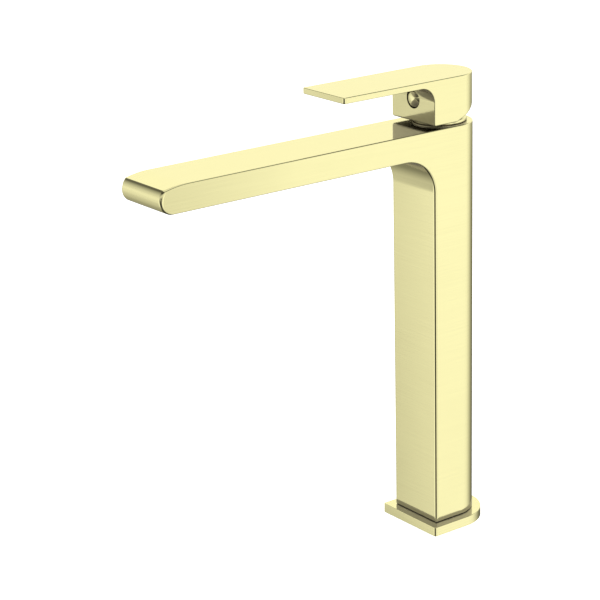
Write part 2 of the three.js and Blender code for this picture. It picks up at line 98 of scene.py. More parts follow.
PIVOT = frame["joints"][0]["pos_m"][2] / MM
BODY_HALF = body_high[0]
BODY_TOP = body_high[2]
BODY_FOOT = body_low[2]
SPOUT_TIP = body_low[1]
SPOUT_THICKNESS = 18.3
SPOUT_UNDER = BODY_TOP - SPOUT_THICKNESS
PLATE_MARGIN = 6.25  # how far the plate stands out around the column
COLUMN_FRONT = plate_low[1] + PLATE_MARGIN
ARMPIT = 26.0  # radius of the inside corner under the spout
BODY_EDGE = 0.8  # roundings: the body's level edges,
COLUMN_EDGE = 1.8  # the column's upright corners,
FOOT_EDGE = 0.8  # the column's foot,
LEVER_EDGE = 0.6  # and the lever
print("body", body_low, body_high)
print("lever", lever_low, lever_high, "pivot", PIVOT)


# %% [markdown]
# ## Effects that several finishes share
#
# Brushing leaves fine parallel lines. Here they are noise that is stretched a hundred times along
# the brush's way, so the pattern needs no picture. Upright faces are brushed level, and level faces
# lengthwise, and the surface's own normal says which. A second group gives the slow, cloudy change
# of gloss that hands and cloths leave on metal.

# %% Node groups
def group(name, inputs, outputs):
    """A new shader node group with named float or vector sockets."""
    tree = bpy.data.node_groups.new(name, "ShaderNodeTree")
    for label, kind, value in inputs:
        socket = tree.interface.new_socket(label, in_out="INPUT", socket_type=kind)
        if value is not None:
            socket.default_value = value
    for label, kind in outputs:
        tree.interface.new_socket(label, in_out="OUTPUT", socket_type=kind)
    return tree


def add(tree, kind, **settings):
    node = tree.nodes.new(kind)
    for key, value in settings.items():
        setattr(node, key, value)
    return node


def wire(tree, *links):
    for start, end in links:
        tree.links.new(start, end)


BRUSHED_LEVEL = (30.0, 14.0, 1400.0)  # changes quickly with height, slowly along the line
BRUSHED_LENGTHWISE = (1400.0, 14.0, 30.0)  # changes quickly across the spout
LOOKS_UP = 0.7  # a face whose normal has more height than this counts as level


def brushed_lines():
    tree = group("brushed lines", [
        ("Place", "NodeSocketVector", None), ("Normal", "NodeSocketVector", None),
        ("Fineness", "NodeSocketFloat", 1.0)], [("Lines", "NodeSocketFloat")])
    inside, outside = add(tree, "NodeGroupInput"), add(tree, "NodeGroupOutput")
    split = add(tree, "ShaderNodeSeparateXYZ")
    level = add(tree, "ShaderNodeMath", operation="ABSOLUTE")
    pick = add(tree, "ShaderNodeMath", operation="GREATER_THAN")
    pick.inputs[1].default_value = LOOKS_UP
    wire(tree, (inside.outputs["Normal"], split.inputs[0]), (split.outputs["Z"], level.inputs[0]),
         (level.outputs[0], pick.inputs[0]))
    values = []
    for stretch in (BRUSHED_LEVEL, BRUSHED_LENGTHWISE):
        scaled = add(tree, "ShaderNodeVectorMath", operation="MULTIPLY")
        scaled.inputs[1].default_value = stretch
        finer = add(tree, "ShaderNodeVectorMath", operation="SCALE")
        noise = add(tree, "ShaderNodeTexNoise")
        noise.inputs["Scale"].default_value = 1.0
        noise.inputs["Detail"].default_value = 3.0
        wire(tree, (inside.outputs["Place"], scaled.inputs[0]),
             (scaled.outputs[0], finer.inputs[0]),
             (inside.outputs["Fineness"], finer.inputs["Scale"]),
             (finer.outputs[0], noise.inputs["Vector"]))
        values.append(noise.outputs["Fac"])
    choose = add(tree, "ShaderNodeMix")
    wire(tree, (pick.outputs[0], choose.inputs[0]), (values[0], choose.inputs[2]),
         (values[1], choose.inputs[3]), (choose.outputs[0], outside.inputs["Lines"]))
    return tree


def cloudy():
    tree = group("cloudy gloss", [
        ("Place", "NodeSocketVector", None), ("Size", "NodeSocketFloat", 30.0),
        ("Least", "NodeSocketFloat", 0.1), ("Most", "NodeSocketFloat", 0.2)],
        [("Value", "NodeSocketFloat")])
    inside, outside = add(tree, "NodeGroupInput"), add(tree, "NodeGroupOutput")
    noise = add(tree, "ShaderNodeTexNoise")
    noise.inputs["Detail"].default_value = 4.0
    spread_out = add(tree, "ShaderNodeMapRange")
    spread_out.inputs["From Min"].default_value = 0.35
    spread_out.inputs["From Max"].default_value = 0.65
    wire(tree, (inside.outputs["Place"], noise.inputs["Vector"]),
         (inside.outputs["Size"], noise.inputs["Scale"]),
         (noise.outputs["Fac"], spread_out.inputs["Value"]),
         (inside.outputs["Least"], spread_out.inputs["To Min"]),
         (inside.outputs["Most"], spread_out.inputs["To Max"]),
         (spread_out.outputs["Result"], outside.inputs["Value"]))
    return tree


BRUSHED = brushed_lines()
CLOUDY = cloudy()
print("node groups:", [tree.name for tree in (BRUSHED, CLOUDY)])


# %% [markdown]
# ## The finishes
#
# The visible metal is a pale gold coat on brass, fine brushed but still glossy enough to mirror the
# room. All finishes come from one function: two tones that cloud into each other, a roughness
# between two values, and lines in the surface that lean it a little. Metals differ only in tone,
# gloss and the strength of the lines, while plastic, rubber and ceramic aren't metallic.
#
# Where brushed metal shows in other brushed metal, the gold has a second colour and roughness for
# rays that come from a reflection. The colour is painted shade, darker and greyer, that darkens
# those reflections, and the higher roughness makes them duller.

# %% A finish
MIRRORED_ROUGHNESS = 0.5


def finish(name, tones, gloss, metallic=1.0, lines=0.0, fineness=1.0, cloud=30.0, shade_in_reflections=None,
           **constants):
    """tones are the two colours, gloss the least and the most roughness, lines the bump's height.

    The colour for reflected rays is painted shade, darker where the metal shows in other metal.
    """
    material = bpy.data.materials.new(name)
    material.use_nodes = True
    tree = material.node_tree
    shader = tree.nodes["Principled BSDF"]
    shader.inputs["Metallic"].default_value = metallic
    for key, value in constants.items():
        shader.inputs[key.replace("_", " ")].default_value = value
    place = add(tree, "ShaderNodeTexCoord")
    clouds = add(tree, "ShaderNodeGroup", node_tree=CLOUDY)
    clouds.inputs["Size"].default_value = cloud
    clouds.inputs["Least"].default_value, clouds.inputs["Most"].default_value = gloss
    wire(tree, (place.outputs["Object"], clouds.inputs["Place"]))
    gloss_shown = clouds.outputs["Value"]
    tone = add(tree, "ShaderNodeGroup", node_tree=CLOUDY)
    tone.inputs["Size"].default_value = cloud * 0.6
    tone.inputs["Least"].default_value, tone.inputs["Most"].default_value = 0.0, 1.0
    colour = add(tree, "ShaderNodeMix", data_type="RGBA")
    colour.inputs[6].default_value = (*tones[0], 1)
    colour.inputs[7].default_value = (*tones[1], 1)
    wire(tree, (place.outputs["Object"], tone.inputs["Place"]),
         (tone.outputs["Value"], colour.inputs[0]))
    shown = colour
    # Painted shade: rays that come from a reflection see a darker, greyer colour and a higher
    # roughness.
    if shade_in_reflections:
        path = add(tree, "ShaderNodeLightPath")
        shown = add(tree, "ShaderNodeMix", data_type="RGBA")
        shown.inputs[7].default_value = (*shade_in_reflections, 1)
        duller = add(tree, "ShaderNodeMix")
        duller.inputs[3].default_value = MIRRORED_ROUGHNESS
        wire(tree, (path.outputs["Is Glossy Ray"], shown.inputs[0]),
             (path.outputs["Is Glossy Ray"], duller.inputs[0]),
             (colour.outputs[2], shown.inputs[6]), (gloss_shown, duller.inputs[2]))
        gloss_shown = duller.outputs[0]
    wire(tree, (shown.outputs[2], shader.inputs["Base Color"]),
         (gloss_shown, shader.inputs["Roughness"]))
    if lines:
        brush = add(tree, "ShaderNodeGroup", node_tree=BRUSHED)
        brush.inputs["Fineness"].default_value = fineness
        bump = add(tree, "ShaderNodeBump")
        bump.inputs["Strength"].default_value = 1.0
        bump.inputs["Distance"].default_value = lines * MM
        wire(tree, (place.outputs["Object"], brush.inputs["Place"]),
             (place.outputs["Normal"], brush.inputs["Normal"]),
             (brush.outputs["Lines"], bump.inputs["Height"]),
             (brush.outputs["Lines"], colour.inputs[0]),
             (bump.outputs["Normal"], shader.inputs["Normal"]))
    return material


# %% [markdown]
# The tones are linear colours. A metal goes white at grazing angles, and a coated one only pales,
# so the gold has a tint of its own there.

# %% The list of finishes
GRAZING = (0.965, 0.94, 0.77, 1)  # the gold's tint at grazing angles
# Painted shade: a darker, greyer colour that the gold takes only where it shows in other metal.
SHADE_IN_REFLECTIONS = (0.6, 0.585, 0.63)  # its colour in other metal
FINISHES = {
    "brushed_gold": finish("brushed pale gold", [(0.895, 0.840, 0.436), (0.965, 0.910, 0.482)],
                           (0.08, 0.12), lines=0.006, shade_in_reflections=SHADE_IN_REFLECTIONS, Specular_Tint=GRAZING),
    "polished_gold": finish("polished pale gold", [(0.93, 0.87, 0.46), (0.94, 0.885, 0.475)],
                            (0.04, 0.07), shade_in_reflections=SHADE_IN_REFLECTIONS, Specular_Tint=GRAZING),
    "raw_brass": finish("machined brass", [(0.62, 0.43, 0.15), (0.70, 0.50, 0.20)],
                        (0.28, 0.42), lines=0.004, fineness=0.6),
    "copper": finish("drawn copper", [(0.70, 0.30, 0.17), (0.58, 0.24, 0.13)],
                     (0.25, 0.4), cloud=60.0),
    "steel": finish("machined steel", [(0.55, 0.56, 0.57), (0.62, 0.63, 0.64)],
                    (0.22, 0.34), lines=0.003),
    "ceramic": finish("lapped ceramic", [(0.86, 0.85, 0.81), (0.82, 0.81, 0.77)],
                      (0.08, 0.14), metallic=0.0),
    "cartridge_plastic": finish("moulded plastic", [(0.68, 0.70, 0.67), (0.62, 0.64, 0.61)],
                                (0.38, 0.5), metallic=0.0),
    "rubber": finish("black rubber", [(0.018, 0.018, 0.019), (0.03, 0.03, 0.031)],
                     (0.62, 0.8), metallic=0.0),
}
# Painted shade: a near-black finish for the lever's underside and hollows, where little light
# reaches.
LEVER_UNDERSIDE_SHADE = finish("painted shade under the lever", [(0.05, 0.042, 0.025), (0.09, 0.075, 0.045)], (0.5, 0.65),
                 metallic=0.6)
print("finishes:", list(FINISHES))


# %% [markdown]
# ## Meshes out of arrays
#
# Most of this tap is a row of outlines, one behind the other: slices of a casting, or sections of
# something turned. So one helper joins a row of closed outlines to a closed skin. The quads of the
# whole grid come from index arithmetic, and only the two end caps are single large faces.

# %% A skin over a row of outlines
def settle(name, mesh, sharp=40):
    """Merges doubled points, turns all faces outwards, and marks edges over an angle as sharp."""
    work = bmesh.new()
    work.from_mesh(mesh)
    bmesh.ops.remove_doubles(work, verts=work.verts, dist=2e-6)
    bmesh.ops.dissolve_degenerate(work, edges=work.edges, dist=1e-6)
    bmesh.ops.recalc_face_normals(work, faces=work.faces)
    work.to_mesh(mesh)
    work.free()
    mesh.shade_smooth()
    mesh.set_sharp_from_angle(angle=np.radians(sharp))
    piece = bpy.data.objects.new(name, mesh)
    bpy.context.scene.collection.objects.link(piece)
    return piece


def grid_quads(rows, columns, rows_close):
    """Corner numbers of the quads of a grid whose columns close on themselves."""
    row = np.arange(rows if rows_close else rows - 1)[:, None]
    column = np.arange(columns)[None, :]
    after = (row + 1) % rows
    beside = (column + 1) % columns
    corners = [row * columns + column, row * columns + beside,
               after * columns + beside, after * columns + column]
    return np.stack(np.broadcast_arrays(*corners), axis=-1).reshape(-1, 4)


def skin(name, outlines, rows_close=False, sharp=40):
    """A closed skin through outlines[row, point, xyz] in millimetres, with caps at both ends."""
    rows, columns = outlines.shape[:2]
    faces = grid_quads(rows, columns, rows_close).tolist()
    if not rows_close:
        faces.append(list(range(columns)))
        faces.append(list(range((rows - 1) * columns, rows * columns)))
    mesh = bpy.data.meshes.new(name)
    mesh.from_pydata((outlines.reshape(-1, 3) * MM).tolist(), [], faces)
    return settle(name, mesh, sharp)


# %% [markdown]
# Three more helpers draw what goes into such a skin: an arc, a profile that a lathe would turn, and
# an outline whose corners are rounded. A curve module could draw them, but a formula keeps the
# number of points the same in every slice, which the skin needs.

# %% Arcs and turned shapes
def arc(centre, radius, start, end, steps):
    """Points centre + radius (cos a, sin a), with a from start to end in degrees."""
    angle = np.radians(np.linspace(start, end, steps + 1))
    return np.stack([centre[0] + radius * np.cos(angle), centre[1] + radius * np.sin(angle)], -1)


def turned(name, profile, centre=(0.0, 0.0), sides=96, sharp=40):
    """A closed profile of (radius, height) carried round an upright axis: r (cos a, sin a), z."""
    angle = np.linspace(0, 2 * np.pi, sides, endpoint=False)[:, None]
    radius, height = np.asarray(profile).T
    x = centre[0] + radius * np.cos(angle)
    y = centre[1] + radius * np.sin(angle)
    return skin(name, np.stack([x, y, np.broadcast_to(height, x.shape)], -1), True, sharp)


def rounded(corners, radius, steps=4):
    """A closed outline whose corners become quadratic curves that start a radius before them."""
    corners = np.asarray(corners, float)
    before = np.roll(corners, 1, axis=0) - corners
    after = np.roll(corners, -1, axis=0) - corners
    before *= np.minimum(radius / np.linalg.norm(before, axis=1), 0.45)[:, None]
    after *= np.minimum(radius / np.linalg.norm(after, axis=1), 0.45)[:, None]
    t = np.linspace(0, 1, steps + 1)[None, :, None]
    curve = corners[:, None] + before[:, None] * (1 - t) ** 2 + after[:, None] * t ** 2
    return curve.reshape(-1, 2)


# %% [markdown]
# ## Slices of a D-plan casting
#
# Column, spout and lever are all one idea: a side view carried across a fixed width, with a half
# round back. So the casting is cut in thin slices across the width. In the middle the slice is the
# plain side view. Near both sides it shrinks along a quarter circle, which rounds every edge of the
# side view at once. At the back each slice ends on the circle of the D. Modelling with a Bevel
# modifier would also do, but the bevel breaks where the round corner under the spout, the flat
# sides and the round back meet, and the slices don't.

# %% The slices' stations and insets
def stations(half, count=90):
    """x = half sin(t), closest together at the sides, where all the rounding happens."""
    return half * np.sin(np.linspace(-np.pi / 2, np.pi / 2, count + 1))


def side_inset(x, half, radius):
    """How far a slice shrinks: radius less the height of a quarter circle of that radius."""
    over = np.clip(np.abs(x) - (half - radius), 0, radius)
    return radius - np.sqrt(np.maximum(radius ** 2 - over ** 2, 0))


def rim(x, half, corner, radius, steps=8):
    """A rounded rim between an upright wall of a D and a level face, in every slice.

    The wall stands inside its outermost line by corner - sqrt((corner - e)^2 - over^2), where over
    is how far the slice lies in the plan's round corner. e and the depth below the level face go
    round a quarter circle, as far as the slice's x still lies inside the D drawn in by e.
    """
    x = np.abs(x)[:, None]
    most = np.arccos(1 - np.minimum(1, (half - x) / radius))
    angle = most * np.linspace(0, 1, steps + 1)[None, :]
    e = radius * (1 - np.cos(angle))
    over = np.maximum(0, x - (half - corner))
    inside = corner - np.sqrt(np.maximum(0, (corner - e) ** 2 - over ** 2))
    return inside, radius * (1 - np.sin(angle))


def inset_arc(x, half, edges, centre, radius, start, end, steps, set_back=0.0):
    """An arc in every slice. It keeps its centre, and shrinks if it is convex or grows if not.

    edges are the radii of the rounding at both sides, at the arc's start and at its end.
    """
    angle = np.radians(np.linspace(start, end, steps + 1))[None, :]
    inset = side_inset(x[:, None], half, np.linspace(*edges, steps + 1)[None, :])
    reach = radius - inset if end > start else radius + inset
    return np.stack([centre[0] + set_back + reach * np.cos(angle),
                     centre[1] + reach * np.sin(angle)], -1)


def pairs(y, z):
    return np.stack(np.broadcast_arrays(y, z), axis=-1)


def slices(x, parts):
    """Stacks the parts of a side view, each [slice, point, (y, z)], to outlines in space."""
    side_view = np.concatenate(parts, axis=1)
    across = np.broadcast_to(x[:, None, None], side_view.shape[:2] + (1,))
    return np.concatenate([across, side_view], axis=-1)


print("slices across the body:", len(stations(BODY_HALF)))


# %% [markdown]
# ## The casting of column and spout
#
# The real body is one brass casting, ground and brushed: a column with a round back, and a flat
# spout of the same width that leaves it in a round inside corner. The spout's top bends down at the
# tip and meets the round nose in a soft crease, which catches a dark line. The slices give all of
# that as one closed skin.

# %% The body's skin
NOSE_RADIUS = 9.1
NOSE_START = 128
BEND_RADIUS = 75.0
CREASE = 2.0
BEND_SIDES = (BODY_EDGE, 1.6)  # rounding of both sides at the start and end of each arc
CREASE_SIDES = (1.65, 2.0)
BROW_SIDES = (2.1, 2.8)
CHIN_SIDES = (2.8, BODY_EDGE)
body_x = stations(BODY_HALF)
nose = np.array([SPOUT_TIP + NOSE_RADIUS, SPOUT_UNDER + NOSE_RADIUS])
crease = arc(nose, NOSE_RADIUS, NOSE_START, NOSE_START, 0)[0]
bend_end = 90 + np.degrees(np.arccos(1 - (BODY_TOP - crease[1]) / BEND_RADIUS))
bend_y = crease[0] - BEND_RADIUS * np.cos(np.radians(bend_end))
crease_turn = np.radians((bend_end + NOSE_START) / 2)
crease_depth = CREASE / np.cos(np.radians(NOSE_START - bend_end) / 2)
crease_centre = crease - crease_depth * np.array([np.cos(crease_turn), np.sin(crease_turn)])
back_wall, back_depth = rim(body_x, BODY_HALF, BODY_HALF, BODY_EDGE)
front_wall, foot_depth = rim(body_x, BODY_HALF, COLUMN_EDGE, FOOT_EDGE, 6)
heel_wall, heel_depth = rim(body_x, BODY_HALF, BODY_HALF, FOOT_EDGE, 6)


def body_arc(edges, *shape):
    return inset_arc(body_x, BODY_HALF, edges, *shape)


body_outlines = slices(body_x, [
    pairs(BODY_HALF - back_wall, BODY_TOP - back_depth),
    body_arc(BEND_SIDES, (bend_y, BODY_TOP - BEND_RADIUS), BEND_RADIUS, 90, bend_end - 0.4, 16),
    body_arc(CREASE_SIDES, crease_centre, CREASE, bend_end, NOSE_START, 5),
    body_arc(BROW_SIDES, nose, NOSE_RADIUS, NOSE_START + 3, 165, 10),
    body_arc(CHIN_SIDES, nose, NOSE_RADIUS, 168, 270, 26),
    body_arc((BODY_EDGE, COLUMN_EDGE), (COLUMN_FRONT - ARMPIT, SPOUT_UNDER - ARMPIT), ARMPIT,
             90, 0, 36),
    pairs(COLUMN_FRONT + front_wall, BODY_FOOT + foot_depth),
    pairs(BODY_HALF - heel_wall[:, ::-1], BODY_FOOT + heel_depth[:, ::-1]),
])
casting = skin("cast_body", body_outlines)
print("cast body:", len(casting.data.polygons), "faces")


# %% [markdown]
# ## What is hollow in the casting
#
# A cast body isn't solid: the cartridge sits in a bored chamber, the column is hollow for the
# supply tubes, and the spout is a flat water way that ends over the outlet. Each hollow is a plain
# solid that a Boolean modifier cuts away. The cutters run a little past the faces that they open,
# so that no two faces lie in one plane.

# %% Cutters
def prism(name, outline, low, high):
    """A closed plan outline of (x, y) carried straight up from one height to another."""
    outline = np.asarray(outline, float)
    levels = np.array([low, high])[:, None, None]
    flat = np.broadcast_to(outline, (2,) + outline.shape)
    return skin(name, np.concatenate([flat, np.broadcast_to(levels, flat.shape[:2] + (1,))], -1))


def circle(radius, centre=(0.0, 0.0), sides=64):
    return arc(centre, radius, 0, 360 * (1 - 1 / sides), sides - 1)


def rectangle(half, front, back):
    return [(-half, front), (half, front), (half, back), (-half, back)]


def d_plan(half, front, corner, back_steps=48, corner_steps=5):
    """A flat front, straight sides and a half round back about the axis."""
    return np.concatenate([
        arc((0, 0), half, 0, 180, back_steps),
        arc((corner - half, front + corner), corner, 180, 270, corner_steps),
        arc((half - corner, front + corner), corner, 270, 360, corner_steps)])


def carve(piece, finish_inside, cutters):
    """Cuts the cutters out of a piece one after another. The new faces take the inside's finish."""
    for cutter in cutters:
        cutter.data.materials.append(finish_inside)
        boolean = piece.modifiers.new("cut", "BOOLEAN")
        boolean.operation = "DIFFERENCE"
        boolean.solver = "EXACT"
        boolean.material_mode = "TRANSFER"
        boolean.object = cutter
    shape = piece.evaluated_get(bpy.context.evaluated_depsgraph_get())
    mesh = bpy.data.meshes.new_from_object(shape)
    piece.modifiers.clear()
    piece.data = mesh
    mesh.name = piece.name
    for cutter in cutters:
        bpy.data.objects.remove(cutter)
    mesh.shade_smooth()
    mesh.set_sharp_from_angle(angle=np.radians(40))
    return piece


def even_normals(piece):
    """Lets the large faces set the normals, so that flats stay flat right up to their edges."""
    weights = piece.modifiers.new("even normals", "WEIGHTED_NORMAL")
    weights.weight = 100
    weights.keep_sharp = True
    return piece


# %% [markdown]
# The chamber is as wide as the head allows, and its floor is a web that the two supply tubes come
# up through. The spout's water way starts at a riser in the chamber's front wall.

# %% Hollow the casting
PAST = 5  # how far a cutter runs past the face that it opens
WALL = 3.0
SEAT = 247.5  # floor of the chamber
WEB = 7.5  # thickness of that floor
HOLLOW_CORNER = 1.2
CHAMBER_RADIUS = 18.2
BORE_RADIUS, BORE_DEPTH = 12.3, 11.2
INLET_RADIUS, INLET_X, INLET_Y = 5.0, 5.8, -3.4
RISER_HALF, RISER_FRONT, RISER_BACK, RISER_LOW = 12, -26.5, -16.2, 266.5
chamber = prism("chamber", circle(CHAMBER_RADIUS, sides=96), SEAT, BODY_TOP + PAST)
column_hollow = prism(
    "column hollow", d_plan(BODY_HALF - WALL, COLUMN_FRONT + WALL, HOLLOW_CORNER),
    BODY_FOOT - PAST, SEAT - WEB)
outlet_y = (cage_low[1] + cage_high[1]) / 2
outlet_bore = prism(
    "outlet bore", circle(BORE_RADIUS, (0, outlet_y), 72),
    SPOUT_UNDER - PAST, SPOUT_UNDER + BORE_DEPTH)
water_way = prism(
    "water way", rectangle(BODY_HALF - WALL - 0.5, outlet_y - 9, COLUMN_FRONT + 0.8),
    SPOUT_UNDER + WALL, BODY_TOP - WALL)
riser = prism(
    "riser", rectangle(RISER_HALF, RISER_FRONT, RISER_BACK), RISER_LOW, SPOUT_UNDER + WALL + 1)
inlets = [
    prism("inlet", circle(INLET_RADIUS, (side * INLET_X, INLET_Y), 32), SEAT - 12, SEAT + 1)
    for side in (-1, 1)]
casting.data.materials.append(FINISHES["brushed_gold"])
carve(casting, FINISHES["raw_brass"],
      [chamber, column_hollow, outlet_bore, water_way, riser, *inlets])
even_normals(casting)
print("hollowed body:", len(casting.data.polygons), "faces")


# %% [markdown]
# ## The lever
#
# The lever is a second casting with the same D plan: a thin flat arm for the hand, and a block that
# covers the cartridge. Its underside rises towards the back, so that the lever can tip up without
# touching the body. Inside it is a round hollow over the dome collar, a square socket for the stem,
# and the hole for the grub screw behind the plug.

# %% The lever's skin
LEVER_HALF = lever_high[0]
LEVER_TOP = lever_high[2]
LEVER_TIP = lever_low[1]
LEVER_UNDER = lever_low[2]
ARM = 4.3  # thickness of the arm
BLOCK_FRONT = -23.4
BLOCK_FILLET = 11.5  # radius of the corner between arm and block
RELIEF_START = -2.7  # where the underside starts to rise
RELIEF = 25.0  # its angle
KINK = 2.0  # radius there
SPINE_EDGE = 0.9  # roundings: the back's lower edge,
BLOCK_EDGE = 1.3  # the block,
TIP_EDGE = 1.8  # and the tip's corners in plan
lever_x = stations(LEVER_HALF)
block_inset = side_inset(lever_x, LEVER_HALF, BLOCK_EDGE)
arm_under = LEVER_TOP - ARM
top_wall, top_depth = rim(lever_x, LEVER_HALF, LEVER_HALF, LEVER_EDGE)
slope = np.tan(np.radians(RELIEF))
back_y = LEVER_HALF - top_wall[:, 0]
relief_z = (LEVER_UNDER + (back_y - RELIEF_START) * slope
            + block_inset / np.cos(np.radians(RELIEF)))
relief_corner = pairs(back_y, relief_z)[:, None, :]
blend = np.linspace(0, 1, 5)[None, :, None]
relief_way = np.array([np.cos(np.radians(RELIEF)), np.sin(np.radians(RELIEF))])
spine_edge = (relief_corner - SPINE_EDGE * relief_way * (1 - blend) ** 2
              + np.array([0, SPINE_EDGE]) * blend ** 2)
tip = LEVER_TIP + LEVER_EDGE
tip_back = side_inset(lever_x, LEVER_HALF, TIP_EDGE) - side_inset(lever_x, LEVER_HALF, LEVER_EDGE)
thin = (LEVER_EDGE, LEVER_EDGE)


def lever_arc(edges, *shape, set_back=0.0):
    return inset_arc(lever_x, LEVER_HALF, edges, *shape, set_back)


kink_centre = (RELIEF_START - KINK * np.tan(np.radians(RELIEF / 2)), LEVER_UNDER + KINK)
lever_outlines = slices(lever_x, [
    pairs(LEVER_HALF - top_wall, LEVER_TOP - top_depth),
    lever_arc(thin, (tip, LEVER_TOP - LEVER_EDGE), LEVER_EDGE, 90, 180, 8,
              set_back=tip_back[:, None]),
    lever_arc(thin, (tip, arm_under + LEVER_EDGE), LEVER_EDGE, 180, 270, 8,
              set_back=tip_back[:, None]),
    lever_arc(thin, (BLOCK_FRONT - BLOCK_FILLET, arm_under - BLOCK_FILLET), BLOCK_FILLET,
              90, 0, 28),
    lever_arc((LEVER_EDGE, BLOCK_EDGE), (BLOCK_FRONT + BLOCK_EDGE, LEVER_UNDER + BLOCK_EDGE),
              BLOCK_EDGE, 180, 270, 8),
    lever_arc((BLOCK_EDGE, BLOCK_EDGE), kink_centre, KINK, 270, 270 + RELIEF, 4),
    spine_edge,
])
handle = skin("lever_casting", lever_outlines)
print("lever:", len(handle.data.polygons), "faces")


# %% [markdown]
# The hollow over the collar is a ball about the pin, so it stays clear of the collar while the
# lever tips. Inside, and on the faces that look down at the body, the casting gets a near-black
# finish: painted shade where little light reaches.

# %% The lever's hollows
DOME_HOLLOW = 27.8
SOCKET = 4.3  # half the width of the stem's socket
SOCKET_LOW, SOCKET_HIGH = PIVOT + 20, PIVOT + 39
SCREW_HOLE = 3.0
CLEARANCE = 0.3


def ball(name, radius, centre, rings=48, sides=72):
    """A sphere: radius (cos b cos a, cos b sin a, sin b), with b just short of both poles."""
    b = np.linspace(-np.pi / 2, np.pi / 2, rings + 1)[1:-1, None]
    a = np.linspace(0, 2 * np.pi, sides, endpoint=False)[None, :]
    points = np.stack(np.broadcast_arrays(np.cos(b) * np.cos(a), np.cos(b) * np.sin(a),
                                          np.sin(b)), -1)
    return skin(name, points * radius + np.asarray(centre, float))


def lying(name, radius, front, back, z, sides=64):
    """A level cylinder along y."""
    ring = circle(radius, (0.0, z), sides)
    ends = np.array([front, back])[:, None, None]
    flat = np.broadcast_to(ring, (2,) + ring.shape)
    depth = np.broadcast_to(ends, flat.shape[:2] + (1,))
    return skin(name, np.concatenate([flat[..., :1], depth, flat[..., 1:]], -1))


plug_radius = (plug_high[0] - plug_low[0]) / 2
plug_z = (plug_low[2] + plug_high[2]) / 2
plug_back = plug_high[1]
HOLE = plug_radius + CLEARANCE
handle.data.materials.append(FINISHES["brushed_gold"])
# The lever's hollows get the near-black painted shade.
carve(handle, LEVER_UNDERSIDE_SHADE, [
    ball("dome hollow", DOME_HOLLOW, (0, 0, PIVOT)),
    prism("stem socket", rectangle(SOCKET, -SOCKET, SOCKET), SOCKET_LOW, SOCKET_HIGH),
    lying("plug hole", HOLE, BLOCK_FRONT - BLOCK_FILLET, plug_back + CLEARANCE, plug_z),
    lying("screw hole", SCREW_HOLE, plug_back - 1, 0, plug_z, 32)])
even_normals(handle)


def facing_down(piece, shade_finish_below, high):
    """Gives the painted shade to faces that look down and lie below a height, and counts them."""
    faces = len(piece.data.polygons)
    normals, centres = np.empty(faces * 3), np.empty(faces * 3)
    piece.data.polygons.foreach_get("normal", normals)
    piece.data.polygons.foreach_get("center", centres)
    chosen = (normals[2::3] < -0.8) & (centres[2::3] < high * MM)
    slots = np.zeros(faces, np.int32)
    piece.data.polygons.foreach_get("material_index", slots)
    slots[chosen] = piece.data.materials.find(shade_finish_below.name)
    piece.data.polygons.foreach_set("material_index", slots)
    return int(chosen.sum())


# Painted shade on the lever: faces that look down at the body get the near-black finish.
below = facing_down(handle, LEVER_UNDERSIDE_SHADE, LEVER_UNDER + 9)
print("hollowed lever:", len(handle.data.polygons), "faces,", below, "of them underneath")


# %% [markdown]
# ## The base plate
#
# The plate under the column is a thin D with rounded edges, and a groove below for its rubber ring.
# It is one closed section carried round the D: each point of the section is an inset from the
# plate's outline and a height. A corner of the D shrinks with the inset, down to a small radius.

# %% The plate's skin
def d_loops(section, half, front, corner, least=0.15):
    """Carries (inset, height) points round the D, drawn in by each point's inset."""
    loops = []
    for inset, height in section:
        plan = d_plan(half - inset, front + inset, max(corner - inset, least), 96, 8)
        loops.append(np.concatenate([plan, np.full((len(plan), 1), height)], axis=1))
    return np.stack(loops)


PLATE_EDGE = 0.35
LOWER_EDGE = 0.3
PLATE_CORNER = 1.7  # radius of its upright corners
PLATE_HOLE = 11.5  # inset of the hole for the foot
GROOVE_IN, GROOVE_OUT, GROOVE_DEPTH = 6.55, 2.95, 2.5
PLATE_TOP = plate_high[2]
PLATE_HALF = plate_high[0]
edge = arc((PLATE_EDGE, PLATE_TOP - PLATE_EDGE), PLATE_EDGE, 180, 90, 6)
lower_edge = arc((LOWER_EDGE, LOWER_EDGE), LOWER_EDGE, 270, 180, 3)
top_face = [(2.2, PLATE_TOP), (PLATE_HOLE, PLATE_TOP)]
groove = [(PLATE_HOLE, 0.0), (GROOVE_IN, 0.0), (GROOVE_IN, GROOVE_DEPTH),
          (GROOVE_OUT, GROOVE_DEPTH), (GROOVE_OUT, 0.0)]
plate_section = np.concatenate([lower_edge, edge, top_face, groove])
plate = skin("escutcheon", d_loops(plate_section, PLATE_HALF, plate_low[1], PLATE_CORNER), True)
even_normals(plate)
print("plate:", len(plate.data.polygons), "faces")


# %% [markdown]
# ## The gasket in the joint
#
# A thin black ring of rubber closes the joint between column and plate. Squeezed in place it fills
# the joint's height and stands just inside the column's outline, so the joint shows as a fine black
# line. It is a rectangular section carried round the same D.

# %% The gasket's skin
GASKET_OUT, GASKET_IN = 0.75, 2.25  # insets from the column's outline
gasket = skin("foot_gasket", d_loops(
    [(GASKET_OUT, PLATE_TOP), (GASKET_IN, PLATE_TOP), (GASKET_IN, BODY_FOOT),
     (GASKET_OUT, BODY_FOOT)], BODY_HALF, COLUMN_FRONT, COLUMN_EDGE), True)
print("gasket:", len(gasket.data.polygons), "faces")


# %% [markdown]
# ## Collar, plug and outlet cage
#
# These three are turned on a lathe, so they are closed profiles carried round an axis. The collar's
# outside is part of a sphere about the pin that the lever tips on: the lever's hollow keeps the
# same distance to it all the way up.

# %% The dome collar
COLLAR_RADIUS = collar_high[0]
DOME = 26.4  # radius of the sphere
DOME_WALL = 1.8
MOUTH = 15.6  # radius of the opening at the top


def on_dome(sphere, start, end, steps):
    """Points (r, z) on a sphere about the pin, with r going from start to end."""
    r = np.linspace(start, end, steps + 1)
    return np.stack([r, PIVOT + np.sqrt(sphere ** 2 - r ** 2)], -1)


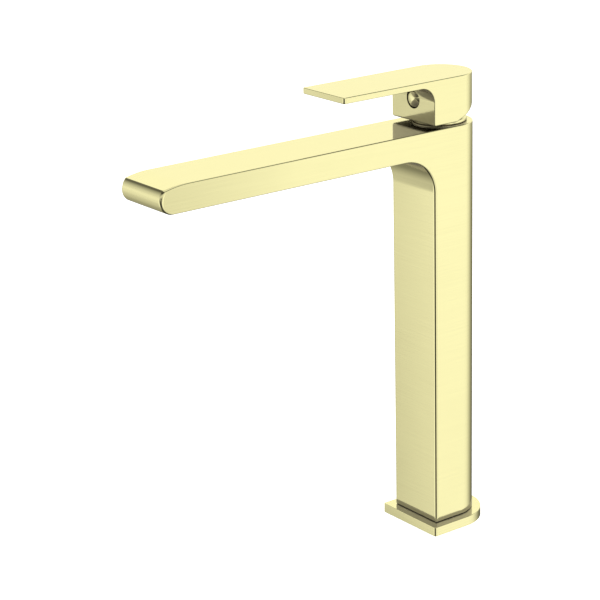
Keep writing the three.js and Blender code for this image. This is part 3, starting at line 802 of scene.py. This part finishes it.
collar_foot = collar_low[2]
outer = on_dome(DOME, COLLAR_RADIUS - 0.25, MOUTH + 0.4, 12)
inner = on_dome(DOME - DOME_WALL, MOUTH - 0.7, COLLAR_RADIUS - 2, 12)
shoulder_z = on_dome(DOME, COLLAR_RADIUS, COLLAR_RADIUS, 0)[0][1]
collar_profile = np.concatenate([
    [(COLLAR_RADIUS - 2, collar_foot), (COLLAR_RADIUS - 0.2, collar_foot),
     (COLLAR_RADIUS, collar_foot + 0.2), (COLLAR_RADIUS, shoulder_z - 0.1)],
    outer, on_dome(DOME - 0.35, MOUTH, MOUTH, 0), inner])
collar = even_normals(turned("dome_collar", collar_profile, sides=128))
print("collar:", len(collar.data.polygons), "faces")


# %% [markdown]
# The plug is a short stopper with a low dome and a fine rounded edge. Its axis lies level, so the
# lathe's profile is carried round y instead of z.

# %% The plug
PLUG_DOME = 2.8  # how far the dome stands out
PLUG_EDGE = 0.35
plug_front = BLOCK_FRONT + 0.8
bulge = (plug_radius ** 2 + PLUG_DOME ** 2) / (2 * PLUG_DOME)
spread = np.degrees(np.arcsin((plug_radius - PLUG_EDGE) / bulge))
face_height = plug_back - plug_front
dome_arc = arc((0, face_height + PLUG_DOME - bulge), bulge, 90 - spread, 90, 16)
plug_profile = np.concatenate([
    [(0, 0), (plug_radius - 0.2, 0), (plug_radius, 0.2), (plug_radius, face_height - PLUG_EDGE)],
    dome_arc])
plug_profile[-1, 0] = 0
plug_turn = np.linspace(0, 2 * np.pi, 96, endpoint=False)[:, None]
plug_r, plug_h = plug_profile.T
plug_points = np.stack(np.broadcast_arrays(
    plug_r * np.cos(plug_turn), plug_back - plug_h, plug_z + plug_r * np.sin(plug_turn)), -1)
plug = even_normals(skin("plug_cap", plug_points, True))
print("plug:", len(plug.data.polygons), "faces")


# %% [markdown]
# The cage screws into the outlet from below and holds the flow straightener. Only its lower rim is
# ever seen, so a plain stepped profile with rounded corners is enough.

# %% The outlet cage
CAGE_RADIUS = (cage_high[0] - cage_low[0]) / 2
cage_profile = rounded([
    (CAGE_RADIUS - 2.6, cage_low[2]), (CAGE_RADIUS, cage_low[2]), (CAGE_RADIUS, cage_high[2]),
    (CAGE_RADIUS - 1.8, cage_high[2]), (CAGE_RADIUS - 1.8, cage_low[2] + 1),
    (CAGE_RADIUS - 2.6, cage_low[2] + 1)], 0.35, 3)
cage = even_normals(turned("outlet_cage", cage_profile, (0, outlet_y)))
print("cage:", len(cage.data.polygons), "faces")


# %% [markdown]
# ## Finishes on the pieces
#
# A CAD node that stays gets the finish of its own slot in the record. A new piece rides on a body,
# stands for its CAD node, and names the slot that its finish comes from.

# %% CAD nodes that stay
SLOT_OF = {part["node"]: part["material_slot"] for part in frame["record"]["subparts"]}
for node, thing in NODES.items():
    thing.data.materials.clear()
    thing.data.materials.append(FINISHES[SLOT_OF[node]])


# %% [markdown]
# Each row below says which piece stands for which CAD node, and which body it moves with.

# %% New pieces
for piece, node, body in [
    (casting, "body_shell", "root"),
    (plate, "base_plate", "root"),
    (gasket, "column_gasket", "root"),
    (collar, "neck_ring", "root"),
    (cage, "aerator_housing", "root"),
    (handle, "lever_handle", "lever"),
    (plug, "index_plug", "lever"),
]:
    if not piece.data.materials:
        piece.data.materials.append(FINISHES[SLOT_OF[node]])
    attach(piece, body)
    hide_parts(node)
    print(piece.name, "stands for", node, "on", body)


# %% [markdown]
# ## The studio
#
# Polished metal shows the room more than itself, so the light here is a room: a white floor, and a
# surround whose brightness goes by direction. It is white where large soft boxes stand, and dark
# between them, so that each rounded edge draws a crisp dark line. The metal doesn't mirror the
# floor, because in a real studio it stands on a narrow table and mirrors what lies beyond it.

# %% Floor
floor_mesh = bpy.data.meshes.new("studio floor")
FLOOR = 4.0  # half its width in metres
floor_mesh.from_pydata([(-FLOOR, -FLOOR, 0), (FLOOR, -FLOOR, 0), (FLOOR, FLOOR, 0),
                        (-FLOOR, FLOOR, 0)], [], [(0, 1, 2, 3)])
floor = bpy.data.objects.new("studio_floor", floor_mesh)
bpy.context.scene.collection.objects.link(floor)
white = bpy.data.materials.new("studio white")
white.use_nodes = True
white_shader = white.node_tree.nodes["Principled BSDF"]
white_shader.inputs["Base Color"].default_value = (0.9, 0.9, 0.9, 1)
white_shader.inputs["Roughness"].default_value = 1.0
white_shader.inputs["Specular IOR Level"].default_value = 0.0
white_shader.inputs["Emission Color"].default_value = (1, 1, 1, 1)
white_shader.inputs["Emission Strength"].default_value = 0.85
floor_mesh.materials.append(white)
floor.visible_glossy = False


# %% [markdown]
# The surround is a table: for some heights above the horizon it lists grey levels by compass
# direction, and everything between is joined by straight lines. Such a table is easier to tune than
# a dozen lamps, because one number changes one patch of the reflections.

# %% The room's brightness by direction
world = bpy.data.worlds.new("studio")
bpy.context.scene.world = world
world.use_nodes = True
room = world.node_tree
background = room.nodes["Background"]
way = add(room, "ShaderNodeTexCoord")
axes = add(room, "ShaderNodeSeparateXYZ")
around = add(room, "ShaderNodeMath", operation="ARCTAN2")
turn = add(room, "ShaderNodeMapRange")
turn.inputs["From Min"].default_value = -np.pi
turn.inputs["From Max"].default_value = np.pi
height = add(room, "ShaderNodeMath", operation="ARCSINE")
degrees = add(room, "ShaderNodeMath", operation="DEGREES")
wire(room, (way.outputs["Generated"], axes.inputs[0]), (axes.outputs["Y"], around.inputs[0]),
     (axes.outputs["X"], around.inputs[1]), (around.outputs[0], turn.inputs["Value"]),
     (axes.outputs["Z"], height.inputs[0]), (height.outputs[0], degrees.inputs[0]))


def band(stops):
    """Grey levels at compass directions in degrees, from -180 to 180, joined by straight lines."""
    ramp = add(room, "ShaderNodeValToRGB")
    points = ramp.color_ramp.elements
    points[0].position, points[1].position = 0.0, 1.0
    points[0].color = (*[stops[0][1]] * 3, 1)
    points[1].color = (*[stops[-1][1]] * 3, 1)
    for angle, level in stops[1:-1]:
        point = points.new((angle + 180) / 360)
        point.color = (*[level] * 3, 1)
    wire(room, (turn.outputs["Result"], ramp.inputs["Fac"]))
    return ramp.outputs["Color"]


def change(first, second, start, end):
    """Goes from the first level to the second between two heights above the horizon."""
    share = add(room, "ShaderNodeMapRange")
    share.inputs["From Min"].default_value = start
    share.inputs["From Max"].default_value = end
    mix = add(room, "ShaderNodeMix", data_type="RGBA")
    wire(room, (degrees.outputs[0], share.inputs["Value"]),
         (share.outputs["Result"], mix.inputs[0]), (first, mix.inputs[6]),
         (second, mix.inputs[7]))
    return mix.outputs[2]


# Each row is a height in degrees and its (direction, level) stops.
LEVELS = [
    (-60, [(-180, 0.04), (180, 0.04)]),
    (-45, [(-180, 0.18), (-165, 0.28), (-150, 0.42), (-125, 0.5), (-100, 0.3), (-75, 0.1),
           (-30, 0.1), (-10, 0.5), (20, 0.6), (45, 0.85), (85, 0.6), (105, 0.2), (150, 0.15),
           (180, 0.18)]),
    (-30, [(-180, 0.5), (-165, 0.58), (-150, 0.6), (-141.2, 0.38), (-139, 0.84),
           (-125, 0.95), (-105, 1.06), (-98, 0.9), (-90, 0.03), (-36, 0.03), (-25, 0.4),
           (-12, 0.9), (20, 0.8),
           (33, 0.66), (40, 1.03), (55, 1.0), (68, 0.85), (80, 0.55), (95, 0.25), (110, 0.12),
           (150, 0.2), (165, 0.4), (180, 0.5)]),
    (-15, [(-180, 0.59), (-160, 0.64), (-150, 0.8), (-146, 0.86), (-141.2, 0.62),
           (-139, 1.04), (-128, 1.02), (-118, 1.06), (-104, 1.06), (-96, 0.6), (-87, 0.06),
           (-36, 0.05), (-28, 0.6), (-20, 1.08), (14, 1.09), (23, 0.74), (28, 0.74),
           (32.5, 0.8), (34.4, 0.88), (35.5, 0.96), (36.8, 1.09), (68, 1.09),
           (78, 0.93), (86, 0.78), (95, 0.5), (104, 0.28), (125, 0.15), (142, 0.16),
           (157, 0.5), (180, 0.59)]),
    (-12.5, [(-180, 0.6), (-160, 0.68), (-150, 0.82), (-142.5, 0.84), (-141, 0.6), (-138.5, 0.64),
             (-136, 0.95), (-118, 1.06), (-104, 1.03), (-96, 0.5), (-87, 0.08), (-36, 0.08),
             (-28, 0.65), (-20, 1.07), (14, 1.08), (23, 0.74), (28, 0.78), (33, 0.9), (38, 1.07),
             (68, 1.08), (78, 0.95), (86, 0.83), (95, 0.6), (104, 0.45), (125, 0.35),
             (142, 0.35), (157, 0.6), (180, 0.6)]),
    (0, [(-180, 0.6), (-160, 0.85), (-150, 0.92), (-140, 0.97), (-125, 1.02), (-105, 0.9),
         (-90, 0.15), (-35, 0.15), (-18, 1.0), (15, 1.05), (24, 0.75), (34, 1.0), (110, 1.0),
         (130, 1.06), (150, 1.08), (170, 0.8), (180, 0.6)]),
    (15, [(-180, 0.5), (-165, 0.55), (-150, 0.68), (-140, 0.72), (-115, 0.7), (-60, 0.7),
          (0, 0.9), (60, 0.95), (110, 1.06), (128, 1.08), (166, 1.08), (174, 0.8), (180, 0.5)]),
    (27, [(-180, 0.12), (-165, 0.16), (-155, 0.33), (-145, 0.42), (-120, 0.4), (-60, 0.6),
          (0, 0.8), (60, 0.8), (105, 0.85), (125, 1.08), (171, 1.08), (175, 0.5), (180, 0.12)]),
    (34, [(-180, 0.02), (-164, 0.02), (-156, 0.1), (-148, 0.2), (-120, 0.25), (0, 0.3),
          (100, 0.3), (120, 0.6), (140, 1.08), (172, 1.08), (176, 0.1), (180, 0.02)]),
    (41, [(-180, 0.02), (60, 0.06), (130, 0.1), (145, 1.0), (172, 1.08), (176, 0.03),
          (180, 0.02)]),
    (51, [(-180, 0.08), (180, 0.08)]),
    (60, [(-180, 0.8), (180, 0.8)]),
    (76, [(-180, 0.9), (180, 0.9)]),
]
level = band(LEVELS[0][1])
for (below_height, _), (height_here, stops) in zip(LEVELS, LEVELS[1:]):
    level = change(level, band(stops), below_height, height_here)
wire(room, (level, background.inputs["Color"]))
background.inputs["Strength"].default_value = 1.0
print("surround:", len(LEVELS), "heights")


# %% [markdown]
# What lies above the horizon behind the tap is plain white to the camera, and the surround above is
# only for reflections and soft light. Two soft lamps give plastic and rubber some shape, and don't
# show as spots in the metal.

# %% Plain backdrop and soft lamps
LAMP_AIM = (0, 0, 0.15)
plain = add(room, "ShaderNodeBackground")
plain.inputs["Color"].default_value = (1, 1, 1, 1)
path = add(room, "ShaderNodeLightPath")
either = add(room, "ShaderNodeMixShader")
wire(room, (path.outputs["Is Camera Ray"], either.inputs["Fac"]),
     (background.outputs[0], either.inputs[1]), (plain.outputs[0], either.inputs[2]),
     (either.outputs[0], room.nodes["World Output"].inputs["Surface"]))


def lamp(name, place, size, power):
    light = bpy.data.lights.new(name, "AREA")
    light.size = size
    light.energy = power
    thing = bpy.data.objects.new(name, light)
    thing.location = place
    thing.rotation_euler = (Vector(LAMP_AIM) - Vector(place)).to_track_quat("-Z", "Y").to_euler()
    thing.visible_glossy = False
    bpy.context.scene.collection.objects.link(thing)


lamp("soft lamp, right", (1.4, -0.6, 1.3), size=1.2, power=14)
lamp("soft lamp, left", (-1.2, -0.9, 1.1), size=1.2, power=9)
bpy.context.scene.view_settings.view_transform = "Standard"


# %% [markdown]
# ## The camera
#
# A long lens, a little above the spout, looks at the tap's right front corner. The camera leans by
# about one and a half degrees. Its three axes are worked out from azimuth, height and lean.

# %% Camera
AZIMUTH, ELEVATION, ROLL = np.radians([53.279, 18.259, -1.44])
PLACE = (1.0635, -0.91715, 0.6298)
back = np.array([np.sin(AZIMUTH) * np.cos(ELEVATION), -np.cos(AZIMUTH) * np.cos(ELEVATION),
                 np.sin(ELEVATION)])
right = np.array([np.cos(AZIMUTH), np.sin(AZIMUTH), 0.0])
up = np.cross(back, right)
rolled_right = np.cos(ROLL) * right + np.sin(ROLL) * up
rolled_up = np.cos(ROLL) * up - np.sin(ROLL) * right
lens = bpy.data.cameras.new("camera")
lens.sensor_width = 36.0
lens.lens = 124.71
lens.clip_end = 20.0
camera = bpy.data.objects.new("camera", lens)
pose = np.eye(4)
pose[:3, 0], pose[:3, 1], pose[:3, 2] = rolled_right, rolled_up, back
pose[:3, 3] = PLACE
camera.matrix_world = Matrix(pose.tolist())
bpy.context.scene.collection.objects.link(camera)
bpy.context.scene.camera = camera
print("camera at", list(camera.location))
